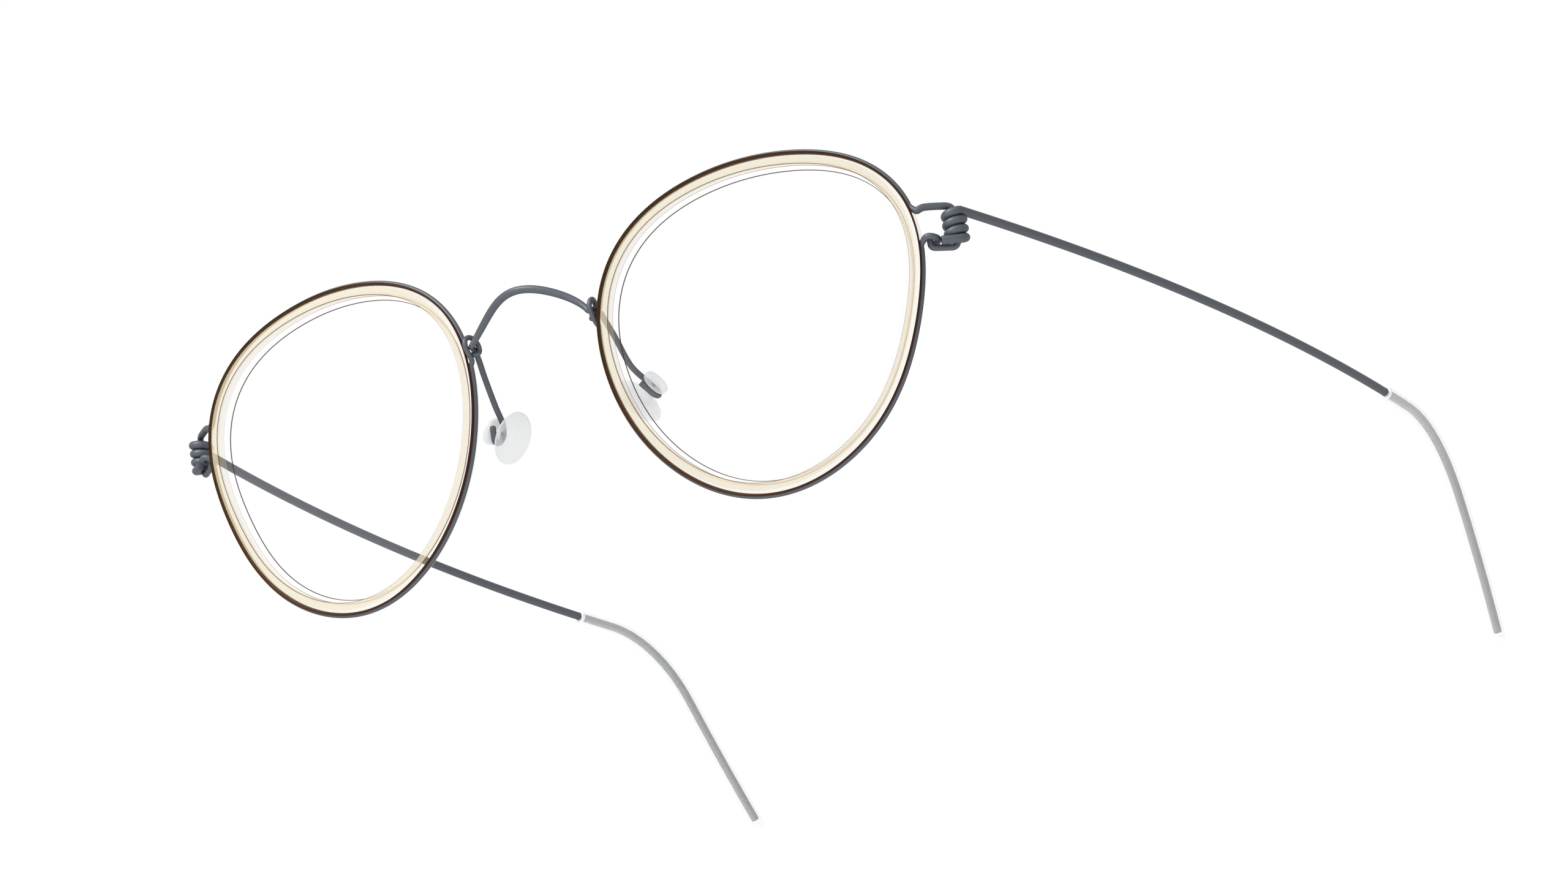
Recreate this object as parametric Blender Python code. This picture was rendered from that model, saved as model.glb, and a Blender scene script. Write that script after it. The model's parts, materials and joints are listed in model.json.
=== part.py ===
"""Round wire eyeglasses with translucent inner rings, coil hinges and clip-on nose pads.

Everything is laid out in the front frame: +X to the wearer's left, +Y back towards the
ears, +Z up, with the origin between the two rims at the height of their centres. The
parent empty then tips the whole pair so that it stands on its rims and temple tips.
"""
import math

import bmesh
import bpy
from mathutils import Matrix, Vector

MM = 0.001

# Rim outline: one closed curve, r = RIM_RADIUS * (1 + the lobes below), angle from the temple side.
RIM_RADIUS = 22.83 * MM
RIM_LOBES = ((2, 0.0270, 0.0060), (3, 0.0, 0.0437), (4, -0.0070, 0.0040), (5, -0.0018, 0.0040),
             (6, -0.0035, 0.0016))
NOSE_SPAN = 20.4 * MM            # between the two rims at their closest
WRAP = math.radians(5.4)         # each rim turns back towards its temple
RIM_BOW = 0.45                   # per metre: the sides of each rim bow forwards

# Wires
RIM_WIRE = 0.70 * MM             # round the ring and in the eyelet
HINGE_WIRE = 0.86 * MM           # the same wire where it makes the hinge post
ARM_WIRE = 0.96 * MM             # in the upper arm
HOOK_WIRE = 0.84 * MM            # and where its two ends hook together
TEMPLE_WIRE = 1.17 * MM
BRIDGE_WIRE = 1.06 * MM          # at the top of the arch
PAD_ARM_WIRE = 0.80 * MM         # the same wire where it goes down to the pads
WIRE_SIDES = 8
RIM_TURN = math.radians(20)      # largest turn and stride between sections of the rim and bridge
RIM_STRIDE = 3.0 * MM
TEMPLE_TURN = math.radians(6)    # and of the temples
TEMPLE_STRIDE = 10.0 * MM

# Inner ring: a rectangle in section, grooved outside for the wire and inside for the lens
RING_DEPTH = 1.54 * MM
RING_LIP = 0.05 * MM             # outer wall beyond the wire's centre line
RING_WIDTH = 1.72 * MM
WIRE_GAP = 0.08 * MM             # between the wire and its groove
LENS_GROOVE_DEPTH = 0.42 * MM
LENS_GROOVE_HALF = 0.42 * MM
RING_STEPS = 48                  # round the ring and the lens
RIM_KNOTS = 50                   # in a full turn of the wire round the ring
GROOVE_FACETS = 3

# Lens
LENS_GAP = 0.53 * MM             # between the ring's inner wall and the lens body
LENS_THICKNESS = 2.50 * MM
LENS_FORWARD = 0.28 * MM         # the lens edge stands in front of the ring's front face
LENS_CROWN = 0.90 * MM           # bulge of both faces at the middle
BEVEL_GAP = 0.12 * MM            # between the lens bevel and its groove

# Hinge, measured from the rim point at HINGE_ANGLE
HINGE_ANGLE = math.radians(15.5)
HINGE_OPENING = 4.0 * MM         # stretch of groove that the wire leaves open
SEAT_LEAD = math.radians(1.7)    # the wire seats in its groove this far beyond each side of it
HINGE_OUT = 3.92 * MM            # hinge post from the rim, outwards
HINGE_BACK = 2.80 * MM           # and backwards
POST_TOP = 2.00 * MM
POST_BOTTOM = -3.50 * MM
POST_CORNER = 0.75 * MM
CURL_CORNER = 0.55 * MM
HOOK_REACH = 1.55 * MM
LOWER_ARM_RISE = 0.30 * MM      # from the post in to the hook
COIL_GAP = 0.07 * MM             # between the post and the coil
COIL_TURN_GAP = 0.03 * MM        # between neighbouring turns
COIL_TURNS = 3
COIL_TAIL = 2.2 * MM
COIL_TAIL_HEADING = math.radians(38.3)
TEMPLE_HEIGHT = 1.08 * MM        # where the temple leaves the coil

# Temple, from the coil to the tip
TEMPLE_LENGTH = 152.9 * MM
TEMPLE_SPLAY = math.radians(11.2)     # outward heading at the coil
TEMPLE_BOW = math.radians(13.8) / 0.100  # heading lost per metre along the bowed stretch
TEMPLE_SLOPE = math.radians(6.9)      # downward slope of the straight stretch
EAR_BEND_START = 111.3 * MM
EAR_BEND_RADIUS = 21.7 * MM
EAR_DROP = math.radians(59.9)
TIP_CURL = math.radians(13.8) / 0.050

# Tip sleeve
SLEEVE_START = 103.0 * MM
SLEEVE_DIAMETER = 1.90 * MM
SLEEVE_GAP = 0.10 * MM
SLEEVE_PAST_WIRE = 0.65 * MM     # from the wire's end to the centre of the rounded end
SLEEVE_SIDES = 10

# Eyelet, bridge and pad arms, measured from the rim point at EYELET_ANGLE
EYELET_ANGLE = math.radians(163.0)
EYELET_OPENING = 2.4 * MM        # stretch of groove below it that the wire leaves open
EYELET_LEAD = math.radians(0.6)  # and this far above it the wire seats again
BRIDGE_RISE = 4.8 * MM           # top of the arch above the eyelet
BRIDGE_FORWARD = 3.0 * MM        # and in front of it
BRIDGE_INSET = 1.27 * MM         # from the eyelet to the foot of the arch
ARCH_STEPS = 8
ARCH_DROP = (1.033, -0.273, 0.240)   # shares of the rise, by even powers of the way out
ARCH_BACK = (1.920, -1.137)

# Nose pad, on the axis through its neck
PAD_NORMAL = Vector((-0.875, 0.020, -0.485)).normalized()
LOOP_LONG = Vector((0.401, 0.590, -0.700))
LOOP_CENTRE = Vector((1.55, 7.30, -10.15)) * MM
LOOP_HALF_WIDTH = 1.02 * MM      # wire centre line to the pad's axis
LOOP_RUN = 1.60 * MM             # straight stretch up from the pad's axis
LOOP_ENTRY = 0.6                 # share of it on the side where the arm comes in
LOOP_TURN = 0.35 * MM            # and on to the centre of the turn
PAD_RADIUS = 3.61 * MM
PAD_BULGE = 1.25 * MM            # half thickness of the lentil
PAD_STANDOFF = 2.40 * MM         # loop to the lentil's middle
BUTTON_RADIUS = 1.85 * MM
BUTTON_THICKNESS = 0.90 * MM
BUTTON_EDGE = 0.12 * MM          # rounding of its rim
PAD_CLEARANCE = 0.16 * MM        # between the loop and the pad
PAD_STEPS = 20

COLOURS = {
    "wire": ((0.115, 0.122, 0.140), 0.42, 1.0, 0.0),
    "acetate": ((0.86, 0.76, 0.56), 0.12, 0.0, 0.7),
    "lens": ((0.95, 0.97, 0.98), 0.03, 0.0, 1.0),
    "silicone": ((0.93, 0.94, 0.95), 0.25, 0.0, 0.85),
}


def make_material(name):
    colour, roughness, metallic, transmission = COLOURS[name]
    material = bpy.data.materials.new(name)
    material.use_nodes = True
    shader = material.node_tree.nodes["Principled BSDF"]
    shader.inputs["Base Color"].default_value = (*colour, 1.0)
    shader.inputs["Roughness"].default_value = roughness
    shader.inputs["Metallic"].default_value = metallic
    shader.inputs["Transmission Weight"].default_value = transmission
    return material


def mirrored(points, sign):
    """The same points for the wearer's left (sign 1) or right (sign -1)."""
    return [Vector((sign * p.x, p.y, p.z)) for p in points]


# --- the rim outline -------------------------------------------------------------------

def rim_radius(angle):
    lobes = sum(c * math.cos(n * angle) + s * math.sin(n * angle) for n, c, s in RIM_LOBES)
    return RIM_RADIUS * (1.0 + lobes)


NOSE_REACH = max(-rim_radius(math.radians(a)) * math.cos(math.radians(a)) for a in range(150, 211))
RIM_CENTRE_X = NOSE_SPAN / 2 + NOSE_REACH * math.cos(WRAP)


def rim_point(angle, grow=0.0, depth=0.0):
    """Point on the wearer's left rim, grow outside the wire's centre line, depth behind it."""
    r = rim_radius(angle) + grow
    out, up = r * math.cos(angle), r * math.sin(angle)
    depth = depth - RIM_BOW * out ** 2
    return Vector((RIM_CENTRE_X + out * math.cos(WRAP) - depth * math.sin(WRAP),
                   out * math.sin(WRAP) + depth * math.cos(WRAP), up))


def rim_arc(start, end):
    steps = math.ceil(abs(end - start) / (2 * math.pi) * RIM_KNOTS)
    return [rim_point(start + (end - start) * i / steps) for i in range(steps + 1)]


HINGE = rim_point(HINGE_ANGLE)
EYELET = rim_point(EYELET_ANGLE)
HINGE_AXIS = Vector((HINGE.x + HINGE_OUT, HINGE.y + HINGE_BACK, 0.0))
COIL_RADIUS = HINGE_WIRE / 2 + COIL_GAP + TEMPLE_WIRE / 2
COIL_PITCH = TEMPLE_WIRE + COIL_TURN_GAP


# --- paths -----------------------------------------------------------------------------

def smooth(knots, step=0.25 * MM):
    """A centripetal Catmull-Rom curve through (point, radius) knots, as a fine polyline."""
    points = [k[0] for k in knots]
    ends = [2 * points[0] - points[1]] + points + [2 * points[-1] - points[-2]]
    path = []
    for i in range(len(points) - 1):
        a, b, c, d = ends[i:i + 4]
        t1 = math.sqrt((b - a).length)
        t2 = t1 + math.sqrt((c - b).length)
        t3 = t2 + math.sqrt((d - c).length)
        count = max(2, round((c - b).length / step))
        for j in range(count):
            t = t1 + (t2 - t1) * j / count
            ab = a.lerp(b, t / t1)
            bc = b.lerp(c, (t - t1) / (t2 - t1))
            cd = c.lerp(d, (t - t2) / (t3 - t2))
            point = ab.lerp(bc, t / t2).lerp(bc.lerp(cd, (t - t1) / (t3 - t1)), (t - t1) / (t2 - t1))
            radius = knots[i][1] + (knots[i + 1][1] - knots[i][1]) * j / count
            path.append((point, radius))
    path.append(knots[-1])
    return path


def thinned(path, turn, stride):
    """The path with points left out where it is nearly straight."""
    kept = [path[0]]
    heading = path[1][0] - path[0][0]
    for i in range(1, len(path) - 1):
        ahead = path[i + 1][0] - path[i][0]
        far = (path[i][0] - kept[-1][0]).length > stride
        if far or heading.angle(ahead) > turn:
            kept.append(path[i])
            heading = ahead
    kept.append(path[-1])
    return kept


def rounded_corner(before, corner, after, radius, steps=5):
    """An arc of the given radius that joins two straight runs at a corner."""
    u = (before - corner).normalized()
    v = (after - corner).normalized()
    half = u.angle(v) / 2
    start = corner + u * radius / math.tan(half)
    middle = corner + (u + v).normalized() * radius / math.sin(half)
    axis = v.cross(u)
    sweep = math.pi - 2 * half
    return [middle + Matrix.Rotation(sweep * i / steps, 3, axis) @ (start - middle)
            for i in range(steps + 1)]


def offsets(origin, points):
    return [origin + Vector(p) * MM for p in points]


# --- bodies ----------------------------------------------------------------------------

def ring_frames(points):
    """Two directions across the path at each point, carried along it without twisting."""
    last = len(points) - 1
    tangents = [(points[min(i + 1, last)] - points[max(i - 1, 0)]).normalized()
                for i in range(len(points))]
    normal = tangents[0].orthogonal().normalized()
    frames = []
    for i, tangent in enumerate(tangents):
        if i:
            normal = tangents[i - 1].rotation_difference(tangent) @ normal
        normal = (normal - tangent * normal.dot(tangent)).normalized()
        frames.append((normal, tangent.cross(normal)))
    return frames


def swept_mesh(name, path, sides, bore=None):
    """A closed body of circles along a path of (point, radius).

    With a bore, given as (first point, end point, radius), it is hollow between those points.
    """
    mesh = bmesh.new()
    frames = ring_frames([point for point, _ in path])
    stations = [(point, frame, radius) for (point, radius), frame in zip(path, frames)]
    if bore:
        first, end, radius = bore
        inside = [(point, frame, radius) for point, frame, _ in stations[first:end]]
        stations = list(reversed(inside)) + stations
    rings = []
    for point, (normal, side), radius in stations:
        angles = [2 * math.pi * k / sides for k in range(sides)]
        rings.append([mesh.verts.new(point + radius * (math.cos(a) * normal + math.sin(a) * side))
                      for a in angles])
    bridge_rings(mesh, rings)
    mesh.faces.new(rings[0])
    mesh.faces.new(rings[-1])
    return finished_mesh(mesh, name)


def bridge_rings(mesh, rings, closed=False):
    count = len(rings[0])
    pairs = list(zip(rings, rings[1:]))
    if closed:
        pairs.append((rings[-1], rings[0]))
    for low, high in pairs:
        for k in range(count):
            mesh.faces.new((low[k], low[(k + 1) % count], high[(k + 1) % count], high[k]))


def finished_mesh(mesh, name):
    bmesh.ops.recalc_face_normals(mesh, faces=mesh.faces)
    data = bpy.data.meshes.new(name)
    mesh.to_mesh(data)
    mesh.free()
    data.shade_smooth()
    data.set_sharp_from_angle(angle=math.radians(40))
    return data


def add_object(name, data, material, parent):
    item = bpy.data.objects.new(name, data)
    data.materials.append(material)
    bpy.context.scene.collection.objects.link(item)
    item.parent = parent
    return item


def add_moving(name, data, material, parent):
    """Add an object whose parent empty sits on its joint, with the mesh moved to match."""
    data.transform(Matrix.Translation(-parent.location))
    return add_object(name, data, material, parent)


def add_empty(name, location, parent=None):
    empty = bpy.data.objects.new(name, None)
    bpy.context.scene.collection.objects.link(empty)
    empty.location = location
    empty.parent = parent
    return empty


# --- rim wire ---------------------------------------------------------------------------

def rim_wire_path():
    """One wire: lower hook, round the ring, eyelet, over the top, hinge post, closing hook."""
    thin, hook = RIM_WIRE / 2, HOOK_WIRE / 2
    half = HINGE_OPENING / 2 / rim_radius(HINGE_ANGLE)
    low, high = HINGE_ANGLE - half, HINGE_ANGLE + half
    gap = EYELET_OPENING / rim_radius(EYELET_ANGLE)
    knots = [(p, hook) for p in lower_hook()]
    knots += [(p, thin) for p in rim_arc(low - SEAT_LEAD, EYELET_ANGLE + gap - 2 * math.pi)]
    knots += [(p, thin) for p in eyelet_loop()]
    knots += [(p, thin) for p in rim_arc(EYELET_ANGLE - EYELET_LEAD, high + SEAT_LEAD)]
    return smooth(knots + hinge_frame())


def lower_hook():
    """Up from the ring, out over the closing hook and back round behind it; given end first."""
    return offsets(HINGE, ((1.05, 1.78, -2.50), (1.80, 1.56, -2.32), (2.20, 0.72, -2.15),
                           (1.85, -0.12, -1.95), (1.30, -0.28, -1.88), (0.75, -0.12, -2.10)))


def eyelet_loop():
    """Off the ring, up in front, over and down behind, then forward and back to the ring."""
    return offsets(EYELET, ((-0.70, -0.10, -1.75), (-0.72, -0.78, -0.80), (-0.70, -1.25, 0.20),
                            (-0.66, -0.98, 1.05), (-0.76, -0.20, 1.46), (-1.02, 0.72, 1.15),
                            (-1.27, 1.12, 0.15), (-1.58, 0.30, -0.85), (-0.50, -0.05, -0.82)))


def hinge_frame():
    """Out to the post, down it, back in along the lower arm and up into the lower hook."""
    arm, post, hook = ARM_WIRE / 2, HINGE_WIRE / 2, HOOK_WIRE / 2
    top, bottom = HINGE.z + POST_TOP, HINGE.z + POST_BOTTOM
    start, rise, bend = offsets(HINGE, ((0.22, 0.10, 1.92), (0.55, 0.30, 2.08), (0.98, 0.58, 2.22)))
    curl, end = offsets(HINGE, ((1.15, 0.68, 0.0), (1.15, 0.68, 0.0)))
    curl.z, end.z = bottom + LOWER_ARM_RISE, HINGE.z - HOOK_REACH
    post_top = Vector((HINGE_AXIS.x, HINGE_AXIS.y, top))
    post_bottom = Vector((HINGE_AXIS.x, HINGE_AXIS.y, bottom))
    corner = rounded_corner(bend, post_top, post_bottom, POST_CORNER)
    knots = [(p, arm) for p in (start, rise, bend, corner[0])] + [(p, post) for p in corner[1:]]
    knots += [(p, post) for p in rounded_corner(post_top, post_bottom, curl, POST_CORNER)]
    knots += [(p, hook) for p in rounded_corner(post_bottom, curl, end, CURL_CORNER)]
    return knots + [(end, hook)]


# --- temple ------------------------------------------------------------------------------

def coil_points():
    """Straight tail, then the turns up the post, ending at the outside, heading back."""
    centre = Vector((HINGE_AXIS.x, HINGE_AXIS.y, 0.0))
    first = COIL_TAIL_HEADING - math.pi / 2
    last = 2 * math.pi * COIL_TURNS - TEMPLE_SPLAY
    top = HINGE.z + TEMPLE_HEIGHT
    base = top - COIL_PITCH * (last - first) / (2 * math.pi)
    steps = 14 * COIL_TURNS
    points = []
    for i in range(steps + 1):
        angle = first + (last - first) * i / steps
        height = base + (top - base) * i / steps
        points.append(centre + Vector((COIL_RADIUS * math.cos(angle), COIL_RADIUS * math.sin(angle),
                                       height)))
    heading = Vector((math.cos(COIL_TAIL_HEADING), math.sin(COIL_TAIL_HEADING), 0.0))
    return [points[0] - heading * COIL_TAIL] + points


def temple_run(length, step=0.5 * MM):
    """The temple from the coil: a bowed run that slopes down, then the bend behind the ear."""
    point = coil_points()[-1]
    points = [point]
    count = round(length / step)
    step = length / count
    for i in range(count):
        s = (i + 0.5) * step
        past = max(s - EAR_BEND_START, 0.0)
        heading = TEMPLE_SPLAY - TEMPLE_BOW * min(s, EAR_BEND_START) - TIP_CURL * past
        drop = min(TEMPLE_SLOPE + past / EAR_BEND_RADIUS, EAR_DROP)
        point = point + step * Vector((math.sin(heading) * math.cos(drop),
                                       math.cos(heading) * math.cos(drop), -math.sin(drop)))
        points.append(point)
    return points


def temple_path():
    points = coil_points() + temple_run(TEMPLE_LENGTH)[1:]
    return [(p, TEMPLE_WIRE / 2) for p in points]


def sleeve_mesh(name, sign):
    """A hollow sleeve over the temple's end, open at its mouth, with a rounded tip."""
    radius = SLEEVE_DIAMETER / 2
    length = TEMPLE_LENGTH + SLEEVE_PAST_WIRE
    run = mirrored(temple_run(length), sign)
    first = round(SLEEVE_START / length * (len(run) - 1))
    hollow = thinned([(p, radius) for p in run[first:]], TEMPLE_TURN, TEMPLE_STRIDE)
    end = run[-1]
    along = (end - run[-2]).normalized()
    dome = [(end + along * radius * math.sin(a), radius * math.cos(a))
            for a in (math.radians(35), math.radians(65), math.radians(82))]
    bore = (0, len(hollow), TEMPLE_WIRE / 2 + SLEEVE_GAP)
    return swept_mesh(name, hollow + dome, SLEEVE_SIDES, bore)


# --- bridge and pad arms -----------------------------------------------------------------

def half_bridge():
    """From the top of the arch to the cut end beside the pad's neck, as (point, radius)."""
    arch, arm = BRIDGE_WIRE / 2, PAD_ARM_WIRE / 2
    span = EYELET.x - BRIDGE_INSET
    knots = []
    for i in range(ARCH_STEPS + 1):
        x = i / ARCH_STEPS
        drop = BRIDGE_RISE * sum(c * x ** (2 * n + 2) for n, c in enumerate(ARCH_DROP))
        back = BRIDGE_FORWARD * sum(c * x ** (2 * n + 2) for n, c in enumerate(ARCH_BACK))
        top = Vector((span * x, EYELET.y - BRIDGE_FORWARD + back, EYELET.z + BRIDGE_RISE - drop))
        knots.append((top, arch + (arm - arch) * x ** 4))
    knee = offsets(EYELET, ((-0.95, -0.05, 0.14), (-0.69, 0.54, 0.08), (-0.60, 1.10, -0.30),
                            (-0.52, 1.72, -1.10), (-0.20, 3.00, -3.20), (0.22, 5.40, -7.10)))
    knots += [(p, arm) for p in knee]
    return knots + [(p, arm) for p in pad_loop()]


def pad_frame():
    """Origin and axes of the loop: towards the nose, along the loop and across it."""
    across = PAD_NORMAL.cross(LOOP_LONG).normalized()
    along = across.cross(PAD_NORMAL)
    return EYELET + LOOP_CENTRE, PAD_NORMAL, along, across


def pad_loop():
    """The arm's run past the neck, the turn, and the second run back to the cut end."""
    origin, _, along, across = pad_frame()
    w = LOOP_HALF_WIDTH
    points = [origin - along * LOOP_RUN * LOOP_ENTRY - across * w]
    for i in range(7):
        angle = math.pi * (i / 6 - 0.5)
        points.append(origin + along * (LOOP_TURN + w * math.cos(angle)) + across * w * math.sin(angle))
    return points + [origin - along * LOOP_RUN + across * w]


def bridge_path():
    half = half_bridge()
    other = [(Vector((-p.x, p.y, p.z)), r) for p, r in half[1:]]
    return smooth(list(reversed(other)) + half)


# --- ring, lens and pad --------------------------------------------------------------------

def ring_section():
    """The ring's section as (outwards from the wire, depth), round from the front outer corner."""
    half, outer, inner = RING_DEPTH / 2, RING_LIP, RING_LIP - RING_WIDTH
    groove = RIM_WIRE / 2 + WIRE_GAP
    mouth = math.acos(RING_LIP / groove)
    facet = 2 * (math.pi - mouth) / GROOVE_FACETS
    section = [(outer, -half), (outer, -groove * math.sin(mouth))]
    for i in range(GROOVE_FACETS):
        angle = mouth + facet * (i + 0.5)
        reach = groove / math.cos(facet / 2)
        section.append((reach * math.cos(angle), -reach * math.sin(angle)))
    section.append((outer, groove * math.sin(mouth)))
    section += [(outer, half), (inner, half), (inner, LENS_GROOVE_HALF),
                (inner + LENS_GROOVE_DEPTH, 0.0), (inner, -LENS_GROOVE_HALF), (inner, -half)]
    return section


def ring_mesh(name, sign):
    mesh = bmesh.new()
    rings = []
    for i in range(RING_STEPS):
        angle = 2 * math.pi * i / RING_STEPS
        section = mirrored([rim_point(angle, grow, depth) for grow, depth in ring_section()], sign)
        rings.append([mesh.verts.new(p) for p in section])
    bridge_rings(mesh, rings, closed=True)
    return finished_mesh(mesh, name)


def lens_rows():
    """Rows from the front middle to the back middle, as (share of the way out, grow, depth)."""
    edge = RING_LIP - RING_WIDTH - LENS_GAP
    front = -RING_DEPTH / 2 - LENS_FORWARD
    back = front + LENS_THICKNESS
    bevel = RING_LIP - RING_WIDTH + LENS_GROOVE_DEPTH - BEVEL_GAP
    root = LENS_GROOVE_HALF * (bevel - edge) / LENS_GROOVE_DEPTH
    root = min(root, LENS_GROOVE_HALF)
    rows = [(share, edge, front - LENS_CROWN * (1 - share ** 2)) for share in (0.35, 0.7, 1.0)]
    rows += [(1.0, edge, -root), (1.0, bevel, 0.0), (1.0, edge, root)]
    return rows + [(share, edge, back - LENS_CROWN * (1 - share ** 2)) for share in (1.0, 0.7, 0.35)]


def lens_mesh(name, sign):
    mesh = bmesh.new()
    rows = []
    for share, grow, depth in lens_rows():
        row = []
        for i in range(RING_STEPS):
            angle = 2 * math.pi * i / RING_STEPS
            inward = (share - 1.0) * (rim_radius(angle) + grow)
            row.append(rim_point(angle, grow + inward, depth))
        rows.append([mesh.verts.new(p) for p in mirrored(row, sign)])
    bridge_rings(mesh, rows)
    mesh.faces.new(rows[0])
    mesh.faces.new(rows[-1])
    return finished_mesh(mesh, name)


def pad_profile():
    """Half section of the pad as (along the axis, radius), button first."""
    wall = PAD_ARM_WIRE / 2 + PAD_CLEARANCE
    neck = LOOP_HALF_WIDTH - wall
    back = -wall - BUTTON_THICKNESS
    face = BUTTON_RADIUS - 1.8 * BUTTON_EDGE
    rows = [(back, BUTTON_RADIUS / 2), (back, face), (back + BUTTON_EDGE, BUTTON_RADIUS),
            (-wall - BUTTON_EDGE, BUTTON_RADIUS), (-wall, face), (-wall, neck), (wall, neck)]
    for angle in (-62, -38, -15, 15, 38, 62, 80):
        a = math.radians(angle)
        height = max(PAD_STANDOFF + PAD_BULGE * math.sin(a), wall)
        rows.append((height, PAD_RADIUS * math.cos(a)))
    return rows


def pad_mesh(name, sign):
    origin, normal, along, across = pad_frame()
    mesh = bmesh.new()
    rows = []
    for height, radius in pad_profile():
        row = []
        for i in range(PAD_STEPS):
            angle = 2 * math.pi * i / PAD_STEPS
            row.append(origin + normal * height
                       + radius * (math.cos(angle) * along + math.sin(angle) * across))
        rows.append([mesh.verts.new(p) for p in mirrored(row, sign)])
    bridge_rings(mesh, rows)
    mesh.faces.new(rows[0])
    mesh.faces.new(rows[-1])
    return finished_mesh(mesh, name)


# --- assembly -------------------------------------------------------------------------------

def wire_mesh(name, path, sign, turn=RIM_TURN, stride=RIM_STRIDE):
    path = [(Vector((sign * p.x, p.y, p.z)), r) for p, r in thinned(path, turn, stride)]
    return swept_mesh(name, path, WIRE_SIDES)


def build_side(side, sign, stand, materials):
    wire = materials["wire"]
    add_object(f"{side}_rim_wire", wire_mesh("rim_wire", rim_wire_path(), sign), wire, stand)
    add_object(f"{side}_inner_ring", ring_mesh("inner_ring", sign), materials["acetate"], stand)
    add_object(f"{side}_lens", lens_mesh("lens", sign), materials["lens"], stand)
    hinge = add_empty(f"{side}_hinge", mirrored([HINGE_AXIS], sign)[0], stand)
    add_moving(f"{side}_temple_wire", wire_mesh("temple_wire", temple_path(), sign,
                                                 TEMPLE_TURN, TEMPLE_STRIDE), wire, hinge)
    add_moving(f"{side}_tip_sleeve", sleeve_mesh("tip_sleeve", sign), materials["silicone"], hinge)
    neck = add_empty(f"{side}_pad_pivot", mirrored([pad_frame()[0]], sign)[0], stand)
    add_moving(f"{side}_nose_pad", pad_mesh("nose_pad", sign), materials["silicone"], neck)


def standing_tilt():
    """The tilt about X at which the rims and the rounded temple tips touch one level surface."""
    low = min((rim_point(math.radians(a)) for a in range(240, 301)), key=lambda p: p.z)
    tip = temple_run(TEMPLE_LENGTH + SLEEVE_PAST_WIRE)[-1]
    rise, reach = low.z - tip.z, tip.y - low.y
    spare = (RIM_WIRE - SLEEVE_DIAMETER) / 2
    return math.acos(spare / math.hypot(rise, reach)) - math.atan2(reach, rise)


def stand_up(stand):
    """Tilt the pair and move it so that its box stands centred on the origin."""
    stand.rotation_euler = (standing_tilt(), 0.0, 0.0)
    bpy.context.view_layer.update()
    corners = [item.matrix_world @ v.co for item in bpy.context.scene.objects
               if item.type == "MESH" for v in item.data.vertices]
    front, back = min(c.y for c in corners), max(c.y for c in corners)
    stand.location = (0.0, -(front + back) / 2, -min(c.z for c in corners))


def build():
    for item in list(bpy.data.objects):
        bpy.data.objects.remove(item, do_unlink=True)
    materials = {name: make_material(name) for name in COLOURS}
    stand = add_empty("stand", (0.0, 0.0, 0.0))
    add_object("bridge_wire", wire_mesh("bridge_wire", bridge_path(), 1), materials["wire"], stand)
    for side, sign in (("right", -1), ("left", 1)):
        build_side(side, sign, stand, materials)
    stand_up(stand)


build()
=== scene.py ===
"""Looks of the wire eyeglasses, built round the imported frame."""
import json
import math

import bmesh
import bpy
from mathutils import Matrix, Vector


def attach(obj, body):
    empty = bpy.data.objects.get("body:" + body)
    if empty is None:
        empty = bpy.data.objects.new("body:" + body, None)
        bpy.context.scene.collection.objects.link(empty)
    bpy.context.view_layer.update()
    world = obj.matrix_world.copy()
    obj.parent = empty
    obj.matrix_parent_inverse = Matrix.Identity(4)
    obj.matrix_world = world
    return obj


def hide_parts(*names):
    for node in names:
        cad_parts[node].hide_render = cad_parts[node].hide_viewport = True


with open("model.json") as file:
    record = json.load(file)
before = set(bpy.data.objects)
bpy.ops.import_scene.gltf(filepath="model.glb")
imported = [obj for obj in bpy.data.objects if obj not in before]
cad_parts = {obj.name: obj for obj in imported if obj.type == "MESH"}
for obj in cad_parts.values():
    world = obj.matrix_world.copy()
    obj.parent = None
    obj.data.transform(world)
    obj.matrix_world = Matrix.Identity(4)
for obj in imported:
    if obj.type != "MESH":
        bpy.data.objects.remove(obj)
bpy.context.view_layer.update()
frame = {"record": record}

MM = 0.001

# --- the front frame: +X to the wearer's left, +Y back, +Z along the hinge pins ---------------

JOINTS = {j["name"]: j for j in frame["record"]["behaviour"]["joints"]}
_hinge = Vector(JOINTS["left_temple_fold"]["pos_m"])
_up = Vector(JOINTS["left_temple_fold"]["axis"]).normalized()
_across = Vector((1.0, 0.0, 0.0))
_back = _up.cross(_across).normalized()

TURN = Matrix((_across, _back, _up)).transposed()
FRONT = TURN.to_4x4()

# --- sizes, in the front frame ------------------------------------------------------------------

RIM_RADIUS = 22.83 * MM
RIM_LOBES = ((2, 0.0270, 0.0060), (3, 0.0, 0.0437), (4, -0.0070, 0.0040), (5, -0.0018, 0.0040),
             (6, -0.0035, 0.0016))
RIM_CENTRE_X = 33.492 * MM
WRAP = math.radians(5.4)
RIM_BOW = 0.45
RIM_WIRE = 0.70 * MM
HINGE_WIRE = 0.86 * MM
ARM_WIRE = 0.96 * MM
HOOK_WIRE = 0.84 * MM
TEMPLE_WIRE = 1.17 * MM
BRIDGE_WIRE = 1.06 * MM
PAD_ARM_WIRE = 0.80 * MM
RING_DEPTH = 1.54 * MM
RING_LIP = 0.05 * MM
RING_WIDTH = 1.72 * MM
RING_STEPS = 240                 # round the ring and the lens
RING_ROUNDING = 0.10 * MM
RING_STRIP_WIDTH = 0.66 * MM     # clear outer strip of the ring's face
WIRE_GAP = 0.03 * MM             # between the wire and its groove
GROOVE_STEPS = 10
LENS_GROOVE = 0.42 * MM          # depth and half width
LENS_GAP = 0.53 * MM             # between the ring and the lens
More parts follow.
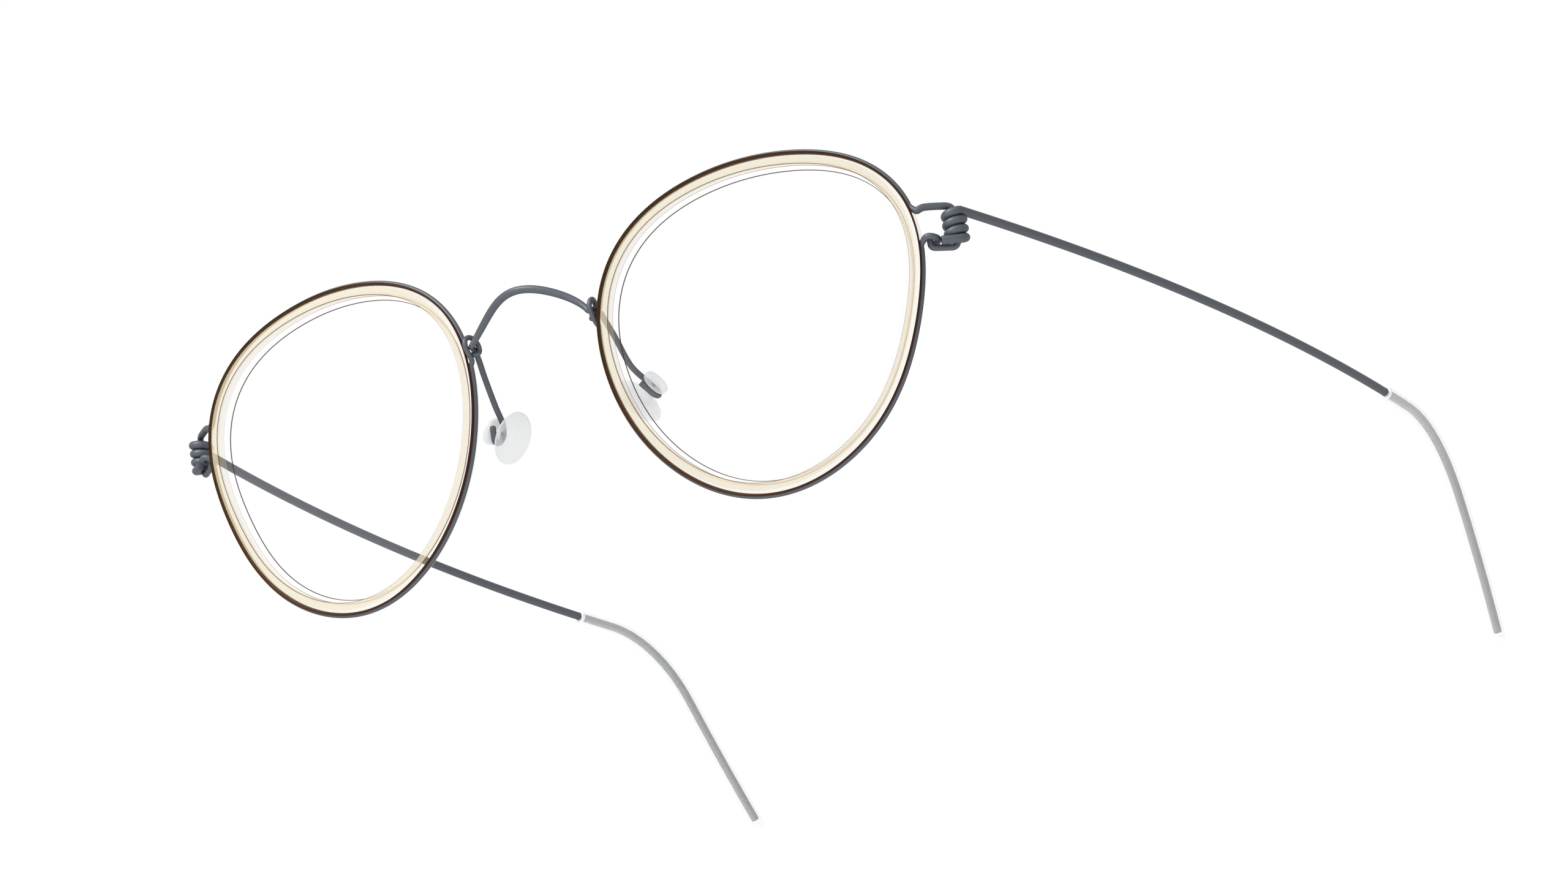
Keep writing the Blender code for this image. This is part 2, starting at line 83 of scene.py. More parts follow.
LENS_FORWARD = 0.28 * MM         # the lens edge stands in front of the ring's face
LENS_THICKNESS = 2.50 * MM
LENS_CROWN = 0.90 * MM           # bulge of both faces at the middle
LENS_CHAMFER = 0.11 * MM
HINGE_ANGLE = math.radians(15.5)
HINGE_OPENING = 4.0 * MM
HINGE_OUT = 3.92 * MM
HINGE_BACK = 2.80 * MM
SEAT_LEAD = 0.03                 # radians by which the wire's seat runs into the opening
EYELET_LEAD = 0.01
EYELET_ANGLE = math.radians(163.0)
EYELET_OPENING = 2.4 * MM
TEMPLE_LENGTH = 152.9 * MM
SLEEVE_START = 103.0 * MM
SLEEVE_DIAMETER = 1.90 * MM
SLEEVE_GAP = 0.04 * MM
SLEEVE_LIP = 0.06 * MM           # rounding of its mouth
SLEEVE_PAST_WIRE = 0.65 * MM
SLEEVE_SIDES = 32
COIL_RADIUS = 1.085 * MM
COIL_PITCH = 1.20 * MM
COIL_TURNS = 3
COIL_TAIL = 2.2 * MM
COIL_TAIL_HEADING = math.radians(38.3)
TEMPLE_HEIGHT = 1.08 * MM
TEMPLE_SPLAY = math.radians(11.2)
TEMPLE_BOW = math.radians(13.8) / 0.100
TEMPLE_SLOPE = math.radians(6.9)
EAR_BEND_START = 111.3 * MM
EAR_BEND_RADIUS = 21.7 * MM
EAR_DROP = math.radians(59.9)
TIP_CURL = math.radians(13.8) / 0.050
WIRE_SIDES = 24
POST_TOP = 2.00 * MM
POST_BOTTOM = -3.50 * MM
POST_CORNER = 0.75 * MM
CURL_CORNER = 0.55 * MM
LOWER_ARM_RISE = 0.30 * MM
HOOK_REACH = 1.55 * MM
BRIDGE_RISE = 4.8 * MM
BRIDGE_FORWARD = 3.0 * MM
BRIDGE_INSET = 1.27 * MM
ARCH_STEPS = 24
ARCH_DROP = (1.033, -0.273, 0.240)
ARCH_BACK = (1.920, -1.137)


def rim_radius(angle):
    return RIM_RADIUS * (1.0 + sum(c * math.cos(n * angle) + s * math.sin(n * angle)
                                   for n, c, s in RIM_LOBES))


def rim_point(angle, grow=0.0, depth=0.0):
    r = rim_radius(angle) + grow
    out, up = r * math.cos(angle), r * math.sin(angle)
    depth = depth - RIM_BOW * out ** 2
    return Vector((RIM_CENTRE_X + out * math.cos(WRAP) - depth * math.sin(WRAP),
                   out * math.sin(WRAP) + depth * math.cos(WRAP), up))


def rim_arc(start, end, steps):
    return [rim_point(start + (end - start) * i / steps) for i in range(steps + 1)]


HINGE = rim_point(HINGE_ANGLE)
EYELET = rim_point(EYELET_ANGLE)
HINGE_AXIS = Vector((HINGE.x + HINGE_OUT, HINGE.y + HINGE_BACK, 0.0))
FRONT.translation = _hinge - TURN @ (HINGE_AXIS + Vector((0.0, 0.0, HINGE.z)))


def offsets(origin, points):
    return [origin + Vector(p) * MM for p in points]


def smooth(knots, step=0.12 * MM):
    """A centripetal Catmull-Rom curve through (point, radius) knots."""
    points = [k[0] for k in knots]
    ends = [2 * points[0] - points[1]] + points + [2 * points[-1] - points[-2]]
    path = []
    for i in range(len(points) - 1):
        a, b, c, d = ends[i:i + 4]
        t1 = math.sqrt((b - a).length)
        t2 = t1 + math.sqrt((c - b).length)
        t3 = t2 + math.sqrt((d - c).length)
        count = max(2, round((c - b).length / step))
        for j in range(count):
            t = t1 + (t2 - t1) * j / count
            ab = a.lerp(b, t / t1)
            bc = b.lerp(c, (t - t1) / (t2 - t1))
            cd = c.lerp(d, (t - t2) / (t3 - t2))
            point = ab.lerp(bc, t / t2).lerp(bc.lerp(cd, (t - t1) / (t3 - t1)), (t - t1) / (t2 - t1))
            path.append((point, knots[i][1] + (knots[i + 1][1] - knots[i][1]) * j / count))
    path.append(knots[-1])
    return path


def thinned(path, turn, stride):
    kept = [path[0]]
    heading = path[1][0] - path[0][0]
    for i in range(1, len(path) - 1):
        ahead = path[i + 1][0] - path[i][0]
        if (path[i][0] - kept[-1][0]).length > stride or heading.angle(ahead) > turn:
            kept.append(path[i])
            heading = ahead
    kept.append(path[-1])
    return kept


def rounded_corner(before, corner, after, radius, steps=12):
    u = (before - corner).normalized()
    v = (after - corner).normalized()
    half = u.angle(v) / 2
    start = corner + u * radius / math.tan(half)
    middle = corner + (u + v).normalized() * radius / math.sin(half)
    axis = v.cross(u)
    sweep = math.pi - 2 * half
    return [middle + Matrix.Rotation(sweep * i / steps, 3, axis) @ (start - middle)
            for i in range(steps + 1)]


# --- wire paths -----------------------------------------------------------------------------

def lower_hook():
    return offsets(HINGE, ((1.05, 1.78, -2.50), (1.80, 1.56, -2.32), (2.20, 0.72, -2.15),
                           (1.85, -0.12, -1.95), (1.30, -0.28, -1.88), (0.75, -0.12, -2.10)))


def eyelet_loop():
    return offsets(EYELET, ((-0.70, -0.10, -1.75), (-0.72, -0.78, -0.80), (-0.70, -1.25, 0.20),
                            (-0.66, -0.98, 1.05), (-0.76, -0.20, 1.46), (-1.02, 0.72, 1.15),
                            (-1.27, 1.12, 0.15), (-1.58, 0.30, -0.85), (-0.50, -0.05, -0.82)))


def hinge_frame():
    arm, post, hook = ARM_WIRE / 2, HINGE_WIRE / 2, HOOK_WIRE / 2
    top, bottom = HINGE.z + POST_TOP, HINGE.z + POST_BOTTOM
    start, rise, bend = offsets(HINGE, ((0.22, 0.10, 1.92), (0.55, 0.30, 2.08), (0.98, 0.58, 2.22)))
    curl, end = offsets(HINGE, ((1.15, 0.68, 0.0), (1.15, 0.68, 0.0)))
    curl.z, end.z = bottom + LOWER_ARM_RISE, HINGE.z - HOOK_REACH
    post_top = Vector((HINGE_AXIS.x, HINGE_AXIS.y, top))
    post_bottom = Vector((HINGE_AXIS.x, HINGE_AXIS.y, bottom))
    corner = rounded_corner(bend, post_top, post_bottom, POST_CORNER)
    knots = [(p, arm) for p in (start, rise, bend, corner[0])] + [(p, post) for p in corner[1:]]
    knots += [(p, post) for p in rounded_corner(post_top, post_bottom, curl, POST_CORNER)]
    knots += [(p, hook) for p in rounded_corner(post_bottom, curl, end, CURL_CORNER)]
    return knots + [(end, hook)]


def rim_wire_path():
    thin, hook = RIM_WIRE / 2, HOOK_WIRE / 2
    half = HINGE_OPENING / 2 / rim_radius(HINGE_ANGLE)
    low, high = HINGE_ANGLE - half, HINGE_ANGLE + half
    gap = EYELET_OPENING / rim_radius(EYELET_ANGLE)
    knots = [(p, hook) for p in lower_hook()]
    knots += [(p, thin) for p in rim_arc(low - SEAT_LEAD, EYELET_ANGLE + gap - 2 * math.pi, 160)]
    knots += [(p, thin) for p in eyelet_loop()]
    knots += [(p, thin) for p in rim_arc(EYELET_ANGLE - EYELET_LEAD, high + SEAT_LEAD, 90)]
    return smooth(knots + hinge_frame())


def coil_points():
    centre = Vector((HINGE_AXIS.x, HINGE_AXIS.y, 0.0))
    first = COIL_TAIL_HEADING - math.pi / 2
    last = 2 * math.pi * COIL_TURNS - TEMPLE_SPLAY
    top = HINGE.z + TEMPLE_HEIGHT
    base = top - COIL_PITCH * (last - first) / (2 * math.pi)
    steps = 48 * COIL_TURNS
    points = []
    for i in range(steps + 1):
        angle = first + (last - first) * i / steps
        height = base + (top - base) * i / steps
        points.append(centre + Vector((COIL_RADIUS * math.cos(angle), COIL_RADIUS * math.sin(angle),
                                       height)))
    heading = Vector((math.cos(COIL_TAIL_HEADING), math.sin(COIL_TAIL_HEADING), 0.0))
    tail = [points[0] - heading * COIL_TAIL * (1 - i / 8) for i in range(8)]
    return tail + points


def temple_run(length, step=0.5 * MM):
    point = coil_points()[-1]
    points = [point]
    count = round(length / step)
    step = length / count
    for i in range(count):
        s = (i + 0.5) * step
        past = max(s - EAR_BEND_START, 0.0)
        heading = TEMPLE_SPLAY - TEMPLE_BOW * min(s, EAR_BEND_START) - TIP_CURL * past
        drop = min(TEMPLE_SLOPE + past / EAR_BEND_RADIUS, EAR_DROP)
        point = point + step * Vector((math.sin(heading) * math.cos(drop),
                                       math.cos(heading) * math.cos(drop), -math.sin(drop)))
        points.append(point)
    return points


PAD_NORMAL = Vector((-0.875, 0.020, -0.485)).normalized()
LOOP_LONG = Vector((0.401, 0.590, -0.700))
LOOP_CENTRE = Vector((1.55, 7.30, -10.15)) * MM
LOOP_HALF_WIDTH = 1.02 * MM
LOOP_RUN = 1.60 * MM
LOOP_TURN = 0.35 * MM


def pad_frame():
    across = PAD_NORMAL.cross(LOOP_LONG).normalized()
    along = across.cross(PAD_NORMAL)
    return EYELET + LOOP_CENTRE, PAD_NORMAL, along, across


def pad_loop():
    origin, _, along, across = pad_frame()
    w = LOOP_HALF_WIDTH
    points = [origin - along * LOOP_RUN * 0.6 - across * w]
    for i in range(13):
        angle = math.pi * (i / 12 - 0.5)
        points.append(origin + along * (LOOP_TURN + w * math.cos(angle)) + across * w * math.sin(angle))
    return points + [origin - along * LOOP_RUN + across * w]


def half_bridge():
    arch, arm = BRIDGE_WIRE / 2, PAD_ARM_WIRE / 2
    span = EYELET.x - BRIDGE_INSET
    knots = []
    for i in range(ARCH_STEPS + 1):
        x = i / ARCH_STEPS
        drop = BRIDGE_RISE * sum(c * x ** (2 * n + 2) for n, c in enumerate(ARCH_DROP))
        back = BRIDGE_FORWARD * sum(c * x ** (2 * n + 2) for n, c in enumerate(ARCH_BACK))
        top = Vector((span * x, EYELET.y - BRIDGE_FORWARD + back, EYELET.z + BRIDGE_RISE - drop))
        knots.append((top, arch + (arm - arch) * x ** 4))
    knee = offsets(EYELET, ((-0.95, -0.05, 0.14), (-0.69, 0.54, 0.08), (-0.60, 1.10, -0.30),
                            (-0.52, 1.72, -1.10), (-0.20, 3.00, -3.20), (0.22, 5.40, -7.10)))
    knots += [(p, arm) for p in knee]
    return knots + [(p, arm) for p in pad_loop()]


def bridge_path():
    half = half_bridge()
    other = [(Vector((-p.x, p.y, p.z)), r) for p, r in half[1:]]
    return smooth(list(reversed(other)) + half)


# --- mesh helpers ---------------------------------------------------------------------------

def bridge_rings(mesh, rings, closed=False):
    count = len(rings[0])
    pairs = list(zip(rings, rings[1:]))
    if closed:
        pairs.append((rings[-1], rings[0]))
    for low, high in pairs:
        for k in range(count):
            mesh.faces.new((low[k], low[(k + 1) % count], high[(k + 1) % count], high[k]))


def add_mesh(name, mesh, material, sharp=50):
    """An object in the front frame, with its vertices put into the world."""
    bmesh.ops.recalc_face_normals(mesh, faces=mesh.faces)
    mesh.transform(FRONT)
    data = bpy.data.meshes.new(name)
    mesh.to_mesh(data)
    mesh.free()
    data.shade_smooth()
    data.set_sharp_from_angle(angle=math.radians(sharp))
    data.materials.append(material)
    item = bpy.data.objects.new(name, data)
    bpy.context.scene.collection.objects.link(item)
    return item


def ring_frames(points):
    last = len(points) - 1
    tangents = [(points[min(i + 1, last)] - points[max(i - 1, 0)]).normalized()
                for i in range(len(points))]
    normal = tangents[0].orthogonal().normalized()
    frames = []
    for i, tangent in enumerate(tangents):
        if i:
            normal = tangents[i - 1].rotation_difference(tangent) @ normal
        normal = (normal - tangent * normal.dot(tangent)).normalized()
        frames.append((normal, tangent.cross(normal)))
    return frames


def tube_mesh(path, sides=WIRE_SIDES, bore=None):
    """Circles along a path of (point, radius), with flat ends; bore is (count, radius)."""
    mesh = bmesh.new()
    frames = ring_frames([p for p, _ in path])
    stations = [(p, f, r) for (p, r), f in zip(path, frames)]
    if bore:
        inside = [(p, f, bore[1]) for p, f, _ in stations[:bore[0]]]
        stations = list(reversed(inside)) + stations
    rings = []
    for p, (n, s), r in stations:
        angles = [2 * math.pi * k / sides for k in range(sides)]
        rings.append([mesh.verts.new(p + r * (math.cos(a) * n + math.sin(a) * s)) for a in angles])
    bridge_rings(mesh, rings)
    mesh.faces.new(rings[0])
    mesh.faces.new(rings[-1])
    return mesh


def mirrored(path, sign):
    return [(Vector((sign * p.x, p.y, p.z)), r) for p, r in path]


def rounded_ends(path, bevel=0.08 * MM):
    """Wire ends are cut flat with a small bevel."""
    (p0, r0), (p1, _) = path[0], path[1]
    (q0, s0), (q1, _) = path[-1], path[-2]
    into_start = (p1 - p0).normalized()
    into_end = (q1 - q0).normalized()
    start = [(p0, r0 - bevel), (p0 + into_start * bevel * 0.3, r0 - bevel * 0.3),
             (p0 + into_start * bevel, r0)]
    end = [(q0 + into_end * bevel, s0), (q0 + into_end * bevel * 0.3, s0 - bevel * 0.3),
           (q0, s0 - bevel)]
    return start + path[1:-1] + end


# --- materials ------------------------------------------------------------------------------

def new_material(name):
    material = bpy.data.materials.new(name)
    material.use_nodes = True
    tree = material.node_tree
    return material, tree, tree.nodes["Principled BSDF"]


def add_noise(tree, scale, detail=2.0):
    """Noise over the piece, in object space."""
    coords = tree.nodes.new("ShaderNodeTexCoord")
    noise = tree.nodes.new("ShaderNodeTexNoise")
    noise.inputs["Scale"].default_value = scale
    noise.inputs["Detail"].default_value = detail
    tree.links.new(coords.outputs["Object"], noise.inputs["Vector"])
    return noise


def colour_mix(tree, factor, low, high):
    """A colour between two, by a node output."""
    mix = tree.nodes.new("ShaderNodeMix")
    mix.data_type = "RGBA"
    mix.inputs[6].default_value = (*low, 1.0)
    mix.inputs[7].default_value = (*high, 1.0)
    tree.links.new(factor, mix.inputs[0])
    return mix.outputs[2]


def wire_material(name, facing_colour, painted_shade_colour):
    """Satin coated wire with fine uneven coating; its colour darkens where it turns away, as painted
    shade.
    """
    material, tree, shader = new_material(name)
    facing = tree.nodes.new("ShaderNodeLayerWeight")
    facing.inputs["Blend"].default_value = 0.42
    # Painted shade: the base colour goes from the facing colour to the painted shade colour where the
    # wire turns away from view.
    colour = colour_mix(tree, facing.outputs["Facing"], facing_colour, painted_shade_colour)
    noise = add_noise(tree, 9000.0, 3.0)
    grain = tree.nodes.new("ShaderNodeMix")
    grain.data_type = "RGBA"
    grain.blend_type = "MULTIPLY"
    grain.inputs[0].default_value = 0.10
    tree.links.new(colour, grain.inputs[6])
    tree.links.new(noise.outputs["Fac"], grain.inputs[7])
    tree.links.new(grain.outputs[2], shader.inputs["Base Color"])
    shader.inputs["Roughness"].default_value = 0.48
    shader.inputs["Metallic"].default_value = 0.25
    shader.inputs["Specular IOR Level"].default_value = 0.30
    bump = tree.nodes.new("ShaderNodeBump")
    bump.inputs["Strength"].default_value = 0.03
    bump.inputs["Distance"].default_value = 0.00002
    tree.links.new(noise.outputs["Fac"], bump.inputs["Height"])
    tree.links.new(bump.outputs["Normal"], shader.inputs["Normal"])
    return material


def film_material(name, low, high, cover, rim_cover, roughness=0.10, shine=0.5):
    """A clear solid: each face veils what lies behind it, more where it turns away."""
    material, tree, shader = new_material(name)
    noise = add_noise(tree, 400.0)
    tree.links.new(colour_mix(tree, noise.outputs["Fac"], low, high), shader.inputs["Base Color"])
    shader.inputs["Roughness"].default_value = roughness
    shader.inputs["IOR"].default_value = 1.45
    shader.inputs["Specular IOR Level"].default_value = shine
    facing = tree.nodes.new("ShaderNodeLayerWeight")
    facing.inputs["Blend"].default_value = 0.35
    veil = tree.nodes.new("ShaderNodeMapRange")
    veil.inputs["To Min"].default_value = cover
    veil.inputs["To Max"].default_value = rim_cover
    tree.links.new(facing.outputs["Facing"], veil.inputs["Value"])
    tree.links.new(veil.outputs["Result"], shader.inputs["Alpha"])
    return material


# Satin wire colour, with painted shade on its edges.
WIRE = wire_material("look_wire", (0.122, 0.134, 0.158), (0.026, 0.029, 0.036))
ACETATE = film_material("look_acetate", (0.66, 0.56, 0.33), (0.70, 0.60, 0.37), 0.12, 0.26)
RING_FACE = film_material("look_ring_face", (0.60, 0.52, 0.36), (0.63, 0.55, 0.385), 0.54, 0.66)
# Painted shade: darker brown amber on the ring's rounded inner edges, for the dark lines the curved
# edges show.
RING_EDGE_SHADE = film_material("look_ring_edge_painted_shade", (0.12, 0.055, 0.015), (0.26, 0.13, 0.04),
                          0.80, 0.90, 0.2, 0.2)
# Painted shade: dark brown and opaque on the ring's front outer corner and the front walls of the
# wire's groove, for the wire's shadow seen in the acetate.
GROOVE_PAINTED_SHADE = film_material("look_groove_painted_shade", (0.045, 0.014, 0.005), (0.070, 0.024, 0.009),
                             1.0, 1.0, 0.3, 0.05)
LENS = film_material("look_lens", (0.90, 0.92, 0.92), (0.95, 0.96, 0.96), 0.005, 0.08, 0.03)
# Painted shade: dark brown on the lens's rear chamfer, for the dark line along the lens edge.
LENS_EDGE_SHADE = film_material("look_lens_edge_painted_shade", (0.035, 0.015, 0.006), (0.07, 0.032, 0.014),
                          0.90, 0.95, 0.2, 0.1)
PAD = film_material("look_pad", (0.74, 0.75, 0.77), (0.82, 0.83, 0.84), 0.20, 0.95, 0.12)
SLEEVE = film_material("look_sleeve", (0.93, 0.935, 0.94), (0.97, 0.972, 0.975), 0.05, 0.35, 0.25)
SLEEVE_MOUTH = film_material("look_sleeve_mouth", (0.93, 0.935, 0.94), (0.97, 0.972, 0.975),
                             0.90, 0.97, 0.25)
# The stretch inside the sleeve: lighter grey, with painted shade on its edges.
TIP_WIRE = wire_material("look_tip_wire", (0.37, 0.38, 0.39), (0.24, 0.25, 0.26))
RING_STRIP = film_material("look_ring_strip", (0.55, 0.40, 0.18), (0.62, 0.46, 0.22), 0.03, 0.08)


# --- pieces ---------------------------------------------------------------------------------

def ring_section():
    """The ring's section as (outwards from the wire, depth), round from the front outer corner."""
    half, outer, inner = RING_DEPTH / 2, RING_LIP, RING_LIP - RING_WIDTH
    groove, round_off = RIM_WIRE / 2 + WIRE_GAP, RING_ROUNDING
    mouth = math.acos(outer / groove)
    section = [(outer - round_off, -half), (outer, -half + round_off)]
    for i in range(GROOVE_STEPS + 1):
        angle = mouth + (2 * math.pi - 2 * mouth) * i / GROOVE_STEPS
        section.append((groove * math.cos(angle), -groove * math.sin(angle)))
    section += [(outer, half - round_off), (outer - round_off, half), (inner + round_off, half),
                (inner, half - round_off), (inner, LENS_GROOVE), (inner + LENS_GROOVE, 0.0),
                (inner, -LENS_GROOVE), (inner, -half + round_off), (inner + round_off, -half),
                (outer - RING_STRIP_WIDTH, -half)]
    return section


def mark_faces(mesh, band_of, slots):
    """Give the faces of some bands another material slot."""
    mesh.faces.ensure_lookup_table()
    for index, face in enumerate(mesh.faces):
        face.material_index = slots.get(band_of(index), 0)


def ring_mesh(sign):
    mesh = bmesh.new()
    rings = []
    for i in range(RING_STEPS):
        angle = 2 * math.pi * i / RING_STEPS
        section = [rim_point(angle, grow, depth) for grow, depth in ring_section()]
        rings.append([mesh.verts.new((sign * p.x, p.y, p.z)) for p in section])
    bridge_rings(mesh, rings, closed=True)
    count = len(ring_section())
    front_edge, back_edge, face, strip = count - 3, count - 8, count - 2, count - 1
    # the rounded inner edges get the painted edge shade
    slots = {front_edge: 1, back_edge: 1, face: 3, strip: 4}
    # bands 0 to 4, the front outer corner and the front groove walls, get the painted groove shade
    slots.update({band: 2 for band in range(5)})
    mark_faces(mesh, lambda index: index % count, slots)
    return mesh


def lens_mesh(sign):
    edge = RING_LIP - RING_WIDTH - LENS_GAP
    front = -RING_DEPTH / 2 - LENS_FORWARD
    back = front + LENS_THICKNESS
    rim = edge + LENS_CHAMFER
    shares = (0.12, 0.25, 0.4, 0.55, 0.7, 0.85, 0.94, 1.0)
    rows = [(share, edge, front - LENS_CROWN * (1 - share ** 2)) for share in shares]
    rows += [(1.0, rim, front + LENS_CHAMFER), (1.0, rim, back - LENS_CHAMFER)]
    rows += [(share, edge, back - LENS_CROWN * (1 - share ** 2)) for share in reversed(shares)]
    mesh = bmesh.new()
    rings = []
    for share, grow, depth in rows:
        row = []
        for i in range(RING_STEPS):
            angle = 2 * math.pi * i / RING_STEPS
            inward = (share - 1.0) * (rim_radius(angle) + grow)
            p = rim_point(angle, grow + inward, depth)
            row.append(mesh.verts.new((sign * p.x, p.y, p.z)))
        rings.append(row)
    bridge_rings(mesh, rings)
    rear = len(shares) + 1
    # the rear chamfer gets the painted edge shade
    mark_faces(mesh, lambda index: index // RING_STEPS, {rear: 1})
    mesh.faces.new(rings[0])
    mesh.faces.new(rings[-1])
    return mesh


PAD_RADIUS = 3.61 * MM
PAD_BULGE = 1.25 * MM
PAD_STANDOFF = 2.40 * MM
BUTTON_RADIUS = 1.85 * MM
BUTTON_THICKNESS = 0.90 * MM
PAD_CLEARANCE = 0.16 * MM
PAD_STEPS = 96


def pad_profile():
    """Half section of the pad as (along its axis, radius), button first."""
    wall = PAD_ARM_WIRE / 2 + PAD_CLEARANCE
    neck = LOOP_HALF_WIDTH - wall
    back = -wall - BUTTON_THICKNESS
    rows = []
    for i in range(9):
        a = math.pi / 2 * i / 8
        rows.append((back + 0.25 * MM * (1 - math.sin(a)), BUTTON_RADIUS * (0.35 + 0.5 * i / 8)))
    middle = (back - wall) / 2
    half = (-wall - back) / 2
    for i in range(1, 12):
        a = math.pi * (i / 12 - 0.5)
        rows.append((middle + half * math.sin(a), BUTTON_RADIUS * (0.85 + 0.15 * math.cos(a))))
    rows += [(-wall, BUTTON_RADIUS * 0.85), (-wall, neck), (wall, neck)]
    for i in range(26):
        a = math.radians(-64 + 148 * i / 25)
        rows.append((max(PAD_STANDOFF + PAD_BULGE * math.sin(a), wall), PAD_RADIUS * math.cos(a)))
    return rows


def pad_mesh(sign):
    origin, normal, along, across = pad_frame()
    mesh = bmesh.new()
    rings = []
    for height, radius in pad_profile():
        row = []
        for i in range(PAD_STEPS):
            angle = 2 * math.pi * i / PAD_STEPS
            p = origin + normal * height + radius * (math.cos(angle) * along + math.sin(angle) * across)
            row.append(mesh.verts.new((sign * p.x, p.y, p.z)))
        rings.append(row)
    bridge_rings(mesh, rings)
    mesh.faces.new(rings[0])
    mesh.faces.new(rings[-1])
    return mesh


def sleeve_mesh(sign):
    radius = SLEEVE_DIAMETER / 2
    length = TEMPLE_LENGTH + SLEEVE_PAST_WIRE
    run = temple_run(length)
    first = round(SLEEVE_START / length * (len(run) - 1))
    hollow = [(p, radius) for p in run[first:]]
    hollow[0] = (hollow[0][0], radius - SLEEVE_LIP)
    along = (run[-1] - run[-2]).normalized()
    dome = [(run[-1] + along * radius * math.sin(a), radius * math.cos(a))
            for a in [math.radians(d) for d in (15, 30, 45, 60, 72, 82)]]
    bore = (len(hollow), TEMPLE_WIRE / 2 + SLEEVE_GAP)
    mesh = tube_mesh(mirrored(hollow + dome, sign), SLEEVE_SIDES, bore)
    mark_faces(mesh, lambda index: index // SLEEVE_SIDES, {len(hollow) - 1: 1, len(hollow): 1})
    return mesh


def temple_mesh(sign):
    """The temple wire, with a lighter grey wire material on the stretch inside the sleeve."""
    path = rounded_ends(thinned(temple_path(), math.radians(5), 1.5 * MM))
    mouth = temple_run(SLEEVE_START)[-1]
    start = min(range(len(path)), key=lambda i: (path[i][0] - mouth).length)
    mesh = tube_mesh(mirrored(path, sign))
    mark_faces(mesh, lambda index: start <= index // WIRE_SIDES < len(path) - 1, {True: 1})
    mesh.faces[-1].material_index = 1
    return mesh


def add_piece(name, node, body, mesh, material, sharp=50, others=()):
    item = add_mesh(name, mesh, material, sharp)
    for other in others:
        item.data.materials.append(other)
    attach(item, body)
    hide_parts(node)
    return item


def temple_path():
    return [(p, TEMPLE_WIRE / 2) for p in coil_points() + temple_run(TEMPLE_LENGTH)[1:]]


def build_side(side, sign):
    rim = tube_mesh(mirrored(rounded_ends(thinned(rim_wire_path(), math.radians(5), 0.6 * MM)), sign))
    add_piece(f"{side}_rim_wire_look", f"{side}_rim_wire", "front", rim, WIRE)
    add_piece(f"{side}_ring_look", f"{side}_inner_ring", "front", ring_mesh(sign), ACETATE, 35,
              (RING_EDGE_SHADE, GROOVE_PAINTED_SHADE, RING_FACE, RING_STRIP))
    add_piece(f"{side}_lens_look", f"{side}_lens", "front", lens_mesh(sign), LENS, 30, (LENS_EDGE_SHADE,))
    add_piece(f"{side}_temple_look", f"{side}_temple_wire", f"{side}_temple",
              temple_mesh(sign), WIRE, 50, (TIP_WIRE,))
    add_piece(f"{side}_sleeve_look", f"{side}_tip_sleeve", f"{side}_temple",
              sleeve_mesh(sign), SLEEVE, 50, (SLEEVE_MOUTH,))
    add_piece(f"{side}_pad_look", f"{side}_nose_pad", f"{side}_pad", pad_mesh(sign), PAD)


bridge = tube_mesh(rounded_ends(thinned(bridge_path(), math.radians(5), 0.6 * MM)))
add_piece("bridge_look", "bridge_wire", "front", bridge, WIRE)
for side, sign in (("right", -1), ("left", 1)):
    build_side(side, sign)


# --- studio ---------------------------------------------------------------------------------

CAMERA_AT = Vector((407.194, -633.684, -189.425)) * MM
CAMERA_RIGHT = Vector((0.83499, 0.53114, -0.14380))
CAMERA_UP = Vector((0.24183, -0.11947, 0.96294))
CAMERA_BACK = Vector((0.49427, -0.83882, -0.22820))


def add_camera():
    data = bpy.data.cameras.new("camera")
    data.lens = 135.95
    data.sensor_width = 36.0
    data.clip_start = 0.01
    item = bpy.data.objects.new("camera", data)
    bpy.context.scene.collection.objects.link(item)
    axes = Matrix((CAMERA_RIGHT, CAMERA_UP, CAMERA_BACK)).transposed()
    item.matrix_world = FRONT @ (Matrix.Translation(CAMERA_AT) @ axes.to_4x4())
    bpy.context.scene.camera = item


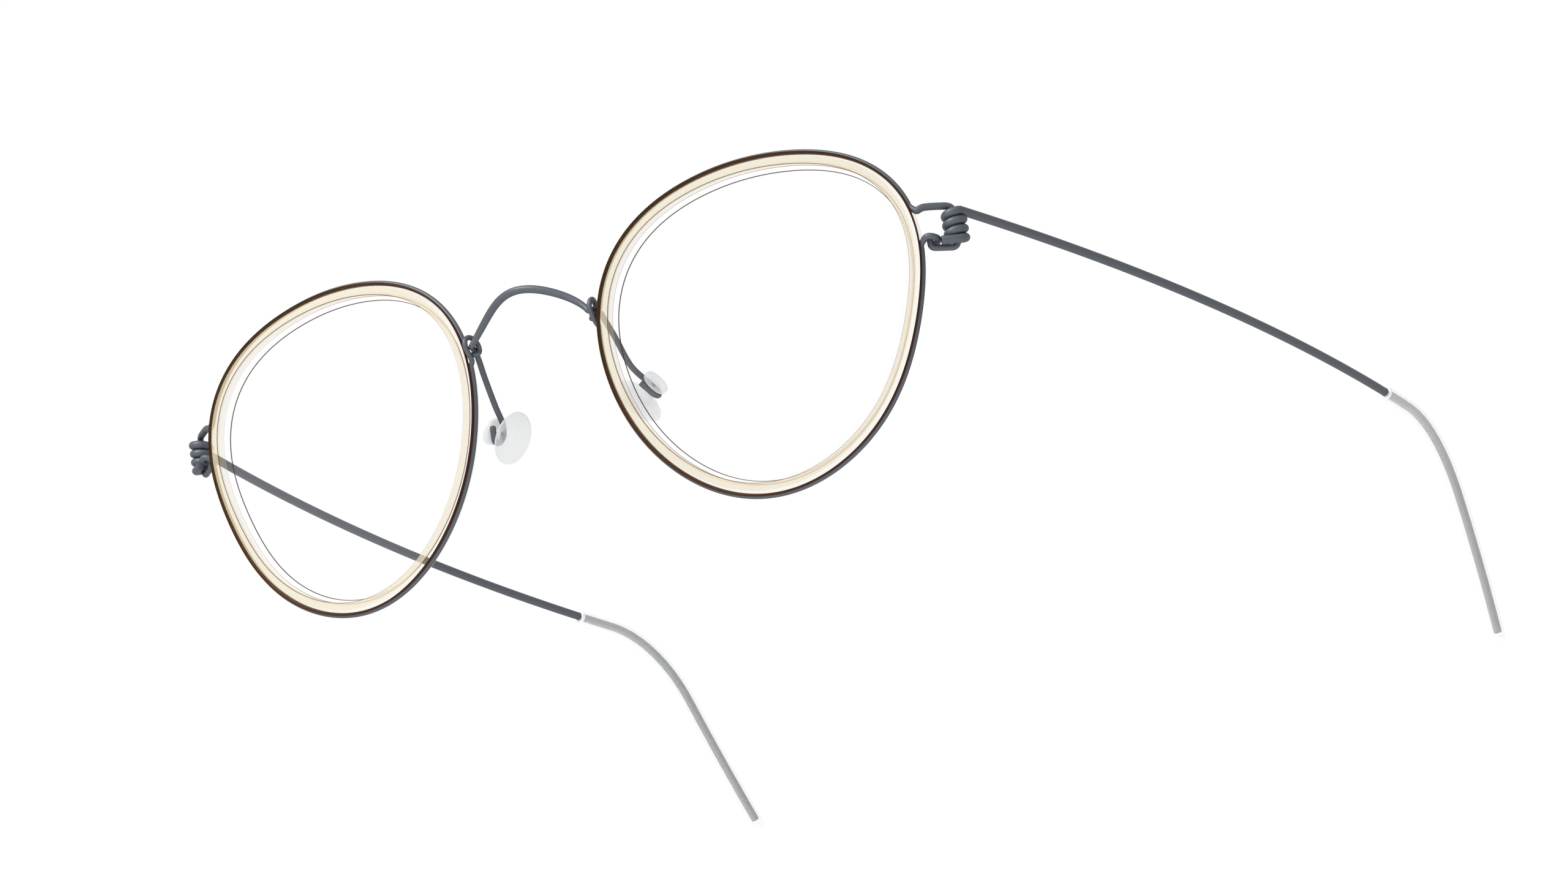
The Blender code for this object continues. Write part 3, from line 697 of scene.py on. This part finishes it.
def add_area(name, at, size, power):
    """A soft panel that faces the glasses."""
    data = bpy.data.lights.new(name, "AREA")
    data.shape = "DISK"
    data.size = size
    data.energy = power
    item = bpy.data.objects.new(name, data)
    item.location = at
    item.rotation_mode = "QUATERNION"
    item.rotation_quaternion = Vector(at).to_track_quat("Z", "Y")
    bpy.context.scene.collection.objects.link(item)


def add_floor():
    """A plain pale floor well below, as the glasses hang in front of a white sweep."""
    mesh = bmesh.new()
    bmesh.ops.create_grid(mesh, x_segments=1, y_segments=1, size=3.0)
    data = bpy.data.meshes.new("floor")
    mesh.to_mesh(data)
    mesh.free()
    material, tree, shader = new_material("floor")
    noise = add_noise(tree, 30.0)
    tree.links.new(colour_mix(tree, noise.outputs["Fac"], (0.92, 0.92, 0.92), (0.95, 0.95, 0.95)),
                   shader.inputs["Base Color"])
    shader.inputs["Roughness"].default_value = 0.8
    data.materials.append(material)
    floor = bpy.data.objects.new("floor", data)
    floor.location = (0.0, 0.0, -0.40)
    bpy.context.scene.collection.objects.link(floor)


def add_world():
    """White behind the glasses, falling to a soft grey on the viewer's side."""
    world = bpy.data.worlds.new("studio")
    bpy.context.scene.world = world
    world.use_nodes = True
    tree = world.node_tree
    coords = tree.nodes.new("ShaderNodeTexCoord")
    dot = tree.nodes.new("ShaderNodeVectorMath")
    dot.operation = "DOT_PRODUCT"
    dot.inputs[1].default_value = TURN @ -CAMERA_BACK
    level = tree.nodes.new("ShaderNodeMapRange")
    level.interpolation_type = "SMOOTHSTEP"
    level.inputs["From Min"].default_value = -0.75
    level.inputs["From Max"].default_value = 0.45
    level.inputs["To Min"].default_value = 0.42
    level.inputs["To Max"].default_value = 1.0
    shade = tree.nodes["Background"]
    tree.links.new(coords.outputs["Generated"], dot.inputs[0])
    tree.links.new(dot.outputs["Value"], level.inputs["Value"])
    tree.links.new(level.outputs["Result"], shade.inputs["Color"])


add_camera()
add_area("key", (-0.25, -0.75, 0.75), 0.5, 12.0)
add_floor()
add_world()
bpy.context.scene.view_settings.view_transform = "Standard"
bpy.context.scene.cycles.max_bounces = 32
bpy.context.scene.cycles.glossy_bounces = 16
bpy.context.scene.cycles.transparent_max_bounces = 32
